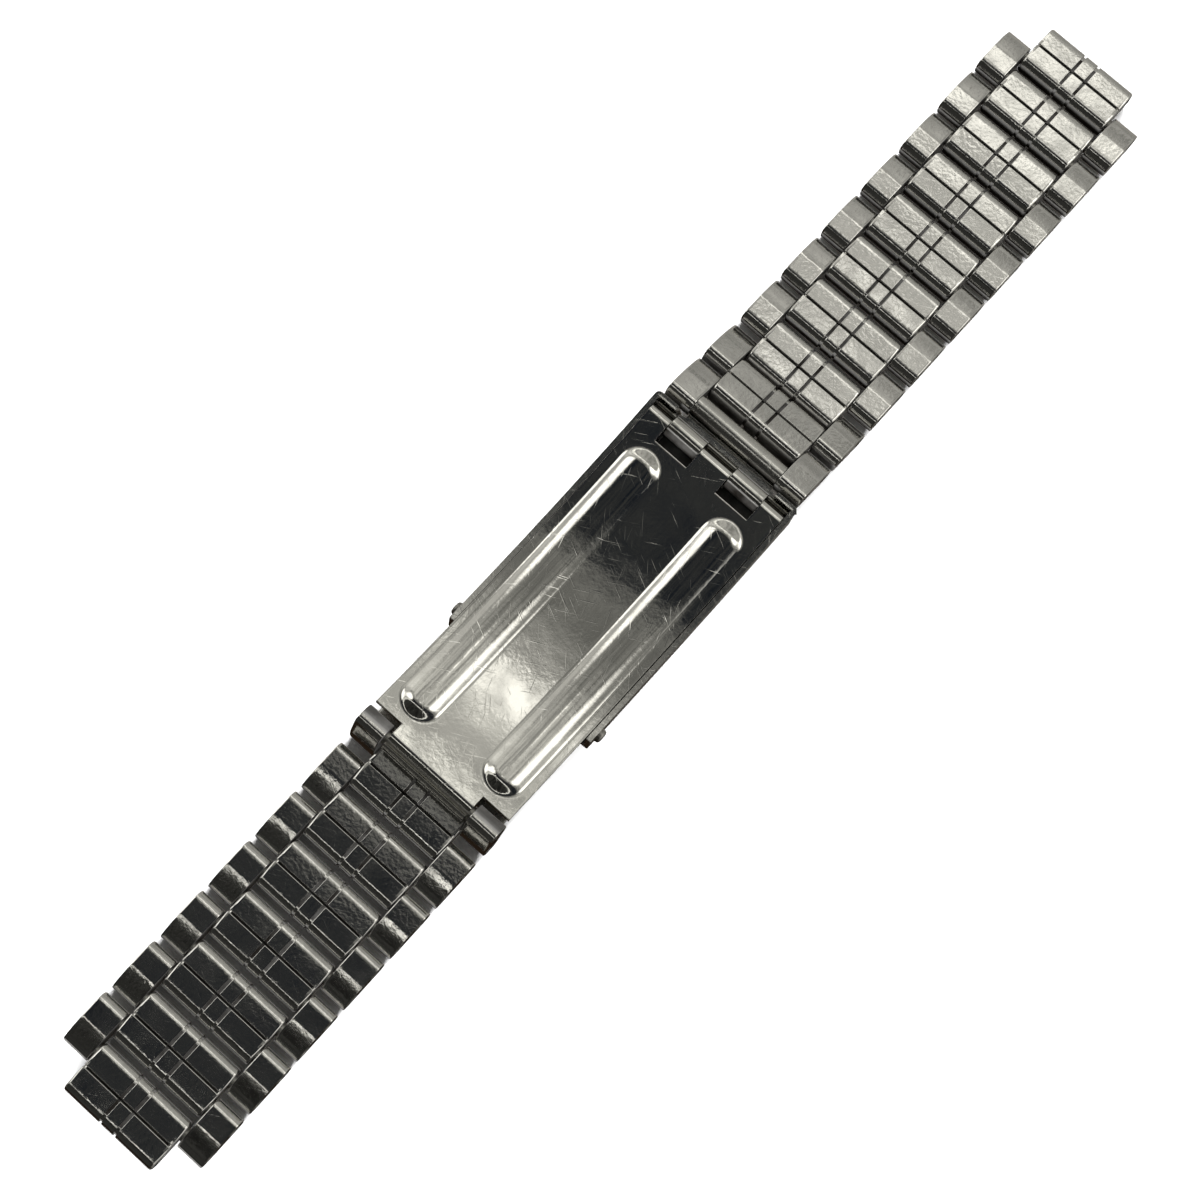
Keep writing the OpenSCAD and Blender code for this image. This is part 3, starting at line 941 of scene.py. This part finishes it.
def headed_pin():
    """A pin whose ends are widened into domed heads by scaling and insetting."""
    bpy.ops.object.select_all(action="DESELECT")
    bpy.ops.mesh.primitive_cylinder_add(
        vertices=WIRE_POINTS, radius=COVER_PIN_D / 2, depth=COVER_W,
        rotation=(math.pi / 2, 0, 0),
    )
    obj = named("cover_pin_rivet")
    edit(obj, "FACE")
    for side in (-1, 1):
        pick(obj, "faces", lambda c, f: c.y * side > COVER_W / 2 - 0.001 * MM)
        bpy.ops.mesh.inset(thickness=0.0, depth=0.0)
        bpy.ops.transform.resize(value=(HEAD_D / COVER_PIN_D, 1, HEAD_D / COVER_PIN_D))
        bpy.ops.mesh.extrude_region_move(
            TRANSFORM_OT_translate={"value": (0, side * HEAD_H, 0)})
    bpy.ops.mesh.select_mode(type="EDGE")
    pick(obj, "edges", lambda c, e: abs(abs(c.y) - COVER_W / 2 - HEAD_H) < 0.001 * MM)
    bpy.ops.mesh.bevel(offset=0.3 * MM, segments=4)
    done(obj)
    return paint_shade_and_grime(finish_mesh(outward(obj), sharp=50), lambda c, n: 0.3)


rivet = headed_pin()
rivet.data.transform(on_curve(-COVER_HINGE, MIDDLE_Z + EYE_R))
fit(rivet, "cover", "pin_steel", PIN_STEEL, "cover_pin")
print("clasp pins:", hinge_wire.name, rivet.name)

# %% [markdown]
# ## Studio
#
# The bracelet lies on plain white. Polished steel is lit by what it mirrors, so the
# room matters more than the lamps. The sky is a dome that changes along the bracelet:
# dark overhead, where the camera is, and to the left but for one narrow bright strip,
# pale to the right with a brighter strip in it, with a few round bright patches where
# the ribs and the blade catch a glint. A slow cloud pattern keeps it uneven, and below
# the horizon it is a dark brown to the left and pale elsewhere. Only mirrored rays see
# this dome. The camera sees plain white round the paper, the paper gets no more than an
# even dim grey from the sky, and two soft lamps give it its light and the shadows.


# %% Floor and lights
GLOW_TINT = (1, 0.985, 0.93)


def floor_sheet():
    """White paper under the bracelet, not to be seen in the steel."""
    bpy.ops.object.select_all(action="DESELECT")
    bpy.ops.mesh.primitive_plane_add(size=0.9, location=(0, 0, 0))
    obj = named("floor")
    material = bpy.data.materials.new("white_paper")
    material.use_nodes = True
    shader = material.node_tree.nodes["Principled BSDF"]
    shader.inputs["Base Color"].default_value = (0.9, 0.9, 0.9, 1)
    shader.inputs["Roughness"].default_value = 0.9
    obj.data.materials.append(material)
    obj.visible_glossy = False


def softbox(name, place, size, power):
    """A soft square lamp aimed at the bracelet, hidden from the camera and the steel."""
    light = bpy.data.lights.new(name, "AREA")
    light.shape, light.size, light.energy = "SQUARE", size, power
    obj = bpy.data.objects.new(name, light)
    obj.location = place
    obj.rotation_euler = (-Vector(place)).to_track_quat("-Z", "Y").to_euler()
    obj.visible_camera = obj.visible_glossy = False
    bpy.context.scene.collection.objects.link(obj)


def glow(tree, way, toward, inner, outer, level):
    """A round bright patch of sky toward a direction, fading between two angles."""
    dot = tree.nodes.new("ShaderNodeVectorMath")
    dot.operation = "DOT_PRODUCT"
    dot.inputs[1].default_value = Vector(toward).normalized()
    tree.links.new(way, dot.inputs[0])
    node = tree.nodes.new("ShaderNodeMapRange")
    node.interpolation_type = "SMOOTHSTEP"
    node.inputs["From Min"].default_value = math.cos(math.radians(outer))
    node.inputs["From Max"].default_value = math.cos(math.radians(inner))
    tree.links.new(dot.outputs["Value"], node.inputs["Value"])
    colour = tuple(c * level for c in GLOW_TINT) + (1,)
    return mix_colour(tree, node.outputs["Result"], (0, 0, 0, 1), colour)


def dome(stops, glows):
    """A sky whose brightness runs along X, with bright patches, and darker below."""
    world = bpy.data.worlds.new("light_tent")
    world.use_nodes = True
    tree = world.node_tree
    way = tree.nodes.new("ShaderNodeTexCoord").outputs["Generated"]
    split = tree.nodes.new("ShaderNodeSeparateXYZ")
    tree.links.new(way, split.inputs["Vector"])
    ramp = tree.nodes.new("ShaderNodeValToRGB")
    ramp.color_ramp.interpolation = "LINEAR"
    points = ramp.color_ramp.elements
    for i, (at, level) in enumerate(stops):
        point = points[i] if i < 2 else points.new(at / 2 + 0.5)
        point.position = at / 2 + 0.5
        cool = 0.25 if level < 0.1 and abs(at) < 0.3 else 0
        point.color = (level * (1 - cool), level * 0.99, level * (0.92 + 2 * cool), 1)
    tree.links.new(
        math_node(tree, "ADD", math_node(tree, "MULTIPLY", split.outputs["X"], 0.5), 0.5),
        ramp.inputs["Fac"],
    )
    clutter = tree.nodes.new("ShaderNodeTexNoise")
    clutter.inputs["Scale"].default_value = 9
    clutter.inputs["Detail"].default_value = 2
    tree.links.new(way, clutter.inputs["Vector"])
    cloud = ranged(tree, clutter.outputs["Fac"], 0.35, 0.65, 0.35, 1)
    sky = mix_colour(tree, cloud, (0.06, 0.06, 0.055, 1), ramp.outputs["Color"])
    for patch in glows:
        lit = glow(tree, way, *patch)
        add = tree.nodes.new("ShaderNodeMix")
        add.data_type, add.blend_type = "RGBA", "ADD"
        add.inputs["Factor"].default_value = 1
        tree.links.new(sky, add.inputs[6])
        tree.links.new(lit, add.inputs[7])
        sky = add.outputs[2]
    above = ranged(tree, split.outputs["Z"], -0.12, 0.05, 0, 1)
    sideways = math_node(tree, "ABSOLUTE", split.outputs["Y"], 0)
    pale = math_node(
        tree, "MAXIMUM", ranged(tree, split.outputs["X"], 0.1, 0.7, 0, 1),
        ranged(tree, sideways, 0.5, 0.9, 0, 1),
    )
    below = mix_colour(tree, pale, (0.02, 0.013, 0.008, 1), (0.4, 0.385, 0.35, 1))
    sky = mix_colour(tree, above, below, sky)
    rays = tree.nodes.new("ShaderNodeLightPath")
    dim_grey, white = (0.1, 0.1, 0.1, 1), (1, 1, 1, 1)
    scattered = mix_colour(tree, rays.outputs["Is Diffuse Ray"], sky, dim_grey)
    seen = mix_colour(tree, rays.outputs["Is Camera Ray"], scattered, white)
    tree.links.new(seen, tree.nodes["Background"].inputs["Color"])
    tree.nodes["Background"].inputs["Strength"].default_value = 1
    bpy.context.scene.world = world


# Each stop of the sky: its place along X, as the X of a direction, and its brightness.
STOPS = [
    (-1, 0.03), (-0.62, 0.012), (-0.36, 0.012), (-0.33, 1.6), (-0.28, 1.6), (-0.25, 0.012),
    (0.07, 0.012), (0.12, 0.28), (0.24, 0.38), (0.3, 0.75), (0.36, 0.85), (0.42, 0.75),
    (0.45, 1.9), (0.53, 1.9), (0.57, 0.65), (0.9, 0.6), (1, 0.45),
]
# Each patch: its direction, the angles where it starts and ends to fade, its brightness.
GLOWS = [
    ((-0.02, 0.74, 0.67), 7, 16, 1.8),
    ((0.38, -0.55, 0.75), 6, 15, 1.5),
    ((0.30, 0.11, 0.95), 0.5, 3, 0.8),
    ((0, -0.92, 0.4), 8, 18, 0.8),
    ((0, 1, 0), 15, 42, 0.5),
    ((0, -1, 0), 15, 42, 0.5),
]
LAMP_SIZE, LAMP_POWER = 0.5, 24
floor_sheet()
dome(STOPS, GLOWS)
softbox("right_lamp", (0.8, 0.15, 0.4), LAMP_SIZE, LAMP_POWER)
softbox("left_lamp", (-0.8, -0.15, 0.4), LAMP_SIZE, LAMP_POWER)

# %% [markdown]
# ## Camera
#
# The camera stands about 22 cm above the short side of the bracelet and looks down,
# turned so that the bracelet runs from the lower left to the upper right. Its place
# and its lean come from a fit of a pinhole camera to where the links are in the photo.

# %% Camera
CAMERA_AT = Vector((-51.3, -24.3, 216.4)) * MM
LENS, SENSOR, CLIP_START = 66, 36, 0.01
LEAN = (6.38, -11.94, -0.91)
TURN = (0.68164, 0.73168)


def photo_camera():
    """The camera where a fit to the links' places in the photo puts it."""
    camera = bpy.data.cameras.new("camera")
    camera.lens, camera.sensor_width, camera.clip_start = LENS, SENSOR, CLIP_START
    obj = bpy.data.objects.new("camera", camera)
    lean = Vector([math.radians(angle) for angle in LEAN])
    axes = Matrix.Rotation(lean.length, 3, lean.normalized())
    along, across, back = axes.col[0], axes.col[1], axes.col[2]
    right = TURN[0] * along - TURN[1] * across
    up = TURN[1] * along + TURN[0] * across
    frame_axes = Matrix((right, up, back)).transposed().to_4x4()
    obj.matrix_world = Matrix.Translation(CAMERA_AT) @ frame_axes
    bpy.context.scene.collection.objects.link(obj)
    bpy.context.scene.camera = obj
    return obj


camera = photo_camera()
bpy.context.scene.view_settings.view_transform = "Standard"
print("camera looks along", [round(x, 3) for x in -camera.matrix_world.col[2].xyz])
